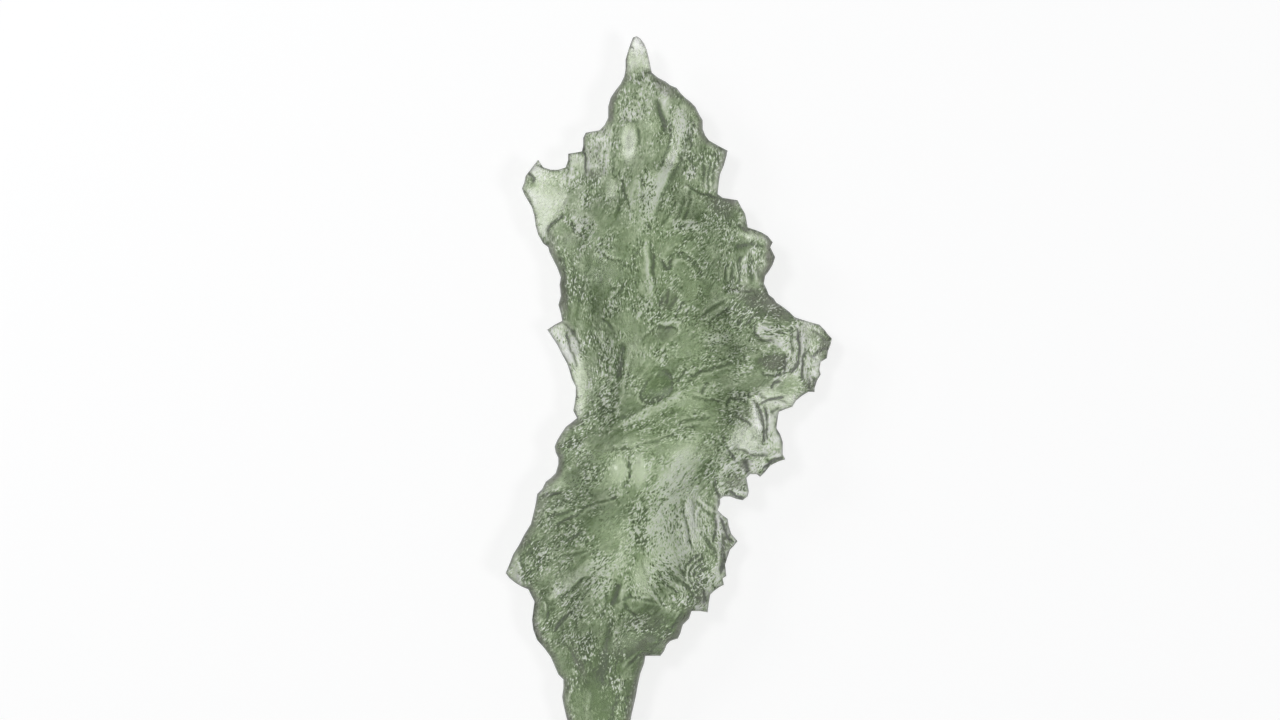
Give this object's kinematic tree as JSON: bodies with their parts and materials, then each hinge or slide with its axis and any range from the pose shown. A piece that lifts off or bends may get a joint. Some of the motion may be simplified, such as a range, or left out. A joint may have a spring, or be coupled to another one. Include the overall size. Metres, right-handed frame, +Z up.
{
  "type": "moldavite",
  "caption": "A moldavite: a flat, deeply etched splinter of clear green natural glass with ragged thin fins, lying on its back.",
  "frame": {"origin": "middle of the stone's box, on the surface that it lies on", "axes": "+X across the stone, towards its wide fin; +Y along the stone, from the tapered stem towards the thin spire; +Z up, out of the front face, away from the surface it rests on"},
  "size_m": [0.0262, 0.0602, 0.0063],
  "materials": {
    "moldavite_glass": "satin"
  },
  "bodies": {
    "root": {"moldavite": "moldavite_glass"}
  },
  "joints": []
}
